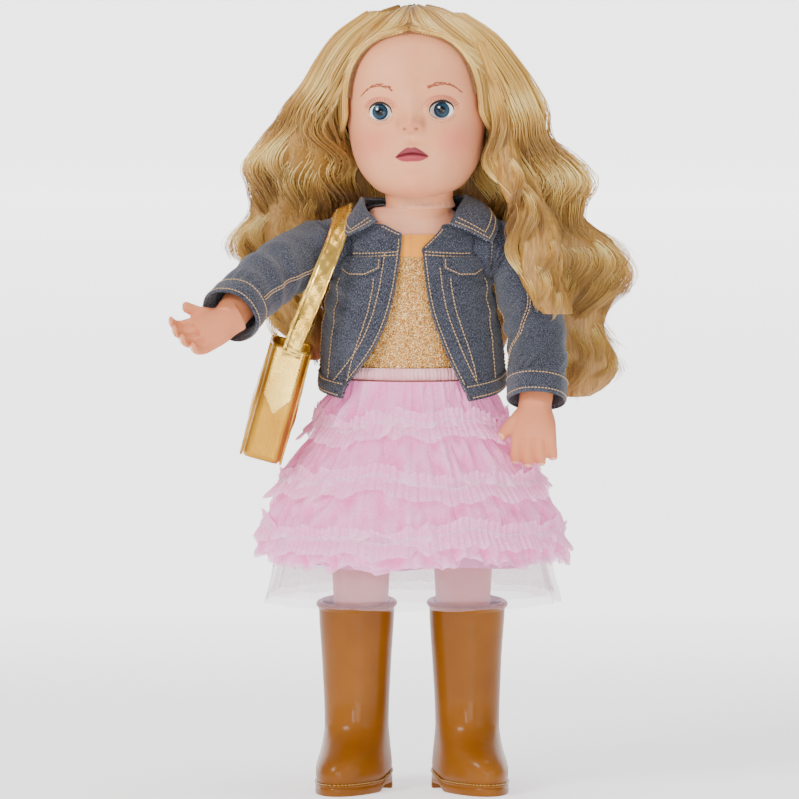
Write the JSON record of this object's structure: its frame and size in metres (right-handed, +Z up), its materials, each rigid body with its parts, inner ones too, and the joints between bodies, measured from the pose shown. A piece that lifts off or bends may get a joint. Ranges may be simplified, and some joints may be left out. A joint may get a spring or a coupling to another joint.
{
  "type": "dressed play doll",
  "caption": "Dressed 18 inch play doll: vinyl head with sleep eyes and rooted hair, strung vinyl limbs, cloth body, denim jacket, knit top, tulle skirt, boots and tote bag.",
  "frame": {"origin": "on the floor under the middle of the doll's bounding box", "axes": "+Z up, the doll faces -Y, its own left side is +X"},
  "size_m": [0.2694, 0.1754, 0.4606],
  "materials": {
    "skin_vinyl": "satin",
    "stuffed_cloth": "woven",
    "hair_fibre": "silky strands",
    "denim": "twill",
    "glitter_knit": "glitter knit",
    "mustard_rib": "ribbed knit",
    "pink_tulle": "sheer net",
    "white_tulle": "sheer net",
    "boot_vinyl": "gloss",
    "gold_foil": "metallic foil",
    "elastic": "braided",
    "steel": "plain",
    "eye_acrylic": "polished",
    "white_plastic": "plain"
  },
  "bodies": {
    "torso": {"cloth_torso": "stuffed_cloth", "arm_cord": "elastic", "leg_cord": "elastic", "neck_drawcord": "elastic", "shoulder_disc_left": "white_plastic", "shoulder_disc_right": "white_plastic", "top_body": "glitter_knit", "top_neckband": "mustard_rib", "jacket_back": "denim", "jacket_hem_band": "denim", "jacket_front_left": "denim", "jacket_front_right": "denim", "jacket_collar_left": "denim", "jacket_collar_right": "denim", "pocket_flap_left": "denim", "pocket_flap_right": "denim", "skirt_waistband": "pink_tulle", "skirt_tier_1": "pink_tulle", "skirt_tier_2": "pink_tulle", "skirt_tier_3": "pink_tulle", "skirt_tier_4": "pink_tulle", "skirt_lining": "pink_tulle", "skirt_underlayer": "white_tulle", "bag_strap": "gold_foil"},
    "head": {"head_shell": "skin_vinyl", "eye_cup_left": "white_plastic", "eye_cup_right": "white_plastic", "hair_cap": "hair_fibre", "hair_side_left": "hair_fibre", "hair_side_right": "hair_fibre", "hair_back": "hair_fibre", "hair_curl_left": "hair_fibre"},
    "eye_left_ball": {"eye_left": "eye_acrylic", "eye_weight_left": "steel"},
    "eye_right_ball": {"eye_right": "eye_acrylic", "eye_weight_right": "steel"},
    "arm_left_body": {"arm_left": "skin_vinyl", "sleeve_left": "denim", "cuff_left": "denim"},
    "arm_right_body": {"arm_right": "skin_vinyl", "sleeve_right": "denim", "cuff_right": "denim"},
    "leg_left_body": {"leg_left": "skin_vinyl", "boot_left": "boot_vinyl", "boot_sole_left": "boot_vinyl"},
    "leg_right_body": {"leg_right": "skin_vinyl", "boot_right": "boot_vinyl", "boot_sole_right": "boot_vinyl"},
    "bag": {"bag_body": "gold_foil", "bag_gusset_front": "gold_foil", "bag_gusset_back": "gold_foil", "bag_tab_front": "gold_foil", "bag_tab_back": "gold_foil"}
  },
  "joints": [
    {"name": "neck_turn", "type": "hinge", "parent": "torso", "child": "head", "pos_m": [0.01051, 0.01314, 0.326], "axis": [-0.0349, 0.003, 0.9994], "range_deg": [-75, 75], "deforming": ["hair_side_left", "hair_side_right", "hair_back", "hair_curl_left"]},
    {"name": "eye_left_sleep", "type": "hinge", "parent": "head", "child": "eye_left_ball", "pos_m": [0.02312, -0.01548, 0.40057], "axis": [0.9958, -0.0848, 0.035], "range_deg": [0, 65]},
    {"name": "eye_right_sleep", "type": "hinge", "parent": "head", "child": "eye_right_ball", "pos_m": [-0.01193, -0.01249, 0.39934], "axis": [0.9958, -0.0848, 0.035], "range_deg": [0, 65]},
    {"name": "shoulder_left", "type": "hinge", "parent": "torso", "child": "arm_left_body", "pos_m": [0.05101, 0.01314, 0.318], "axis": [-1, 0, 0], "range_deg": [-10, 125]},
    {"name": "shoulder_right", "type": "hinge", "parent": "torso", "child": "arm_right_body", "pos_m": [-0.03999, 0.01314, 0.318], "axis": [-1, 0, 0], "range_deg": [-15, 95]},
    {"name": "hip_left", "type": "hinge", "parent": "torso", "child": "leg_left_body", "pos_m": [0.03551, 0.01314, 0.196], "axis": [-1, 0, 0], "range_deg": [-10, 90], "deforming": ["skirt_tier_1", "skirt_tier_2", "skirt_tier_3", "skirt_tier_4", "skirt_lining", "skirt_underlayer"]},
    {"name": "hip_right", "type": "hinge", "parent": "torso", "child": "leg_right_body", "pos_m": [-0.02449, 0.01314, 0.196], "axis": [-1, 0, 0], "range_deg": [-10, 90]},
    {"name": "bag_swing", "type": "hinge", "parent": "torso", "child": "bag", "pos_m": [-0.06499, 0.01314, 0.262], "axis": [0, 1, 0], "range_deg": [0, 25]}
  ]
}
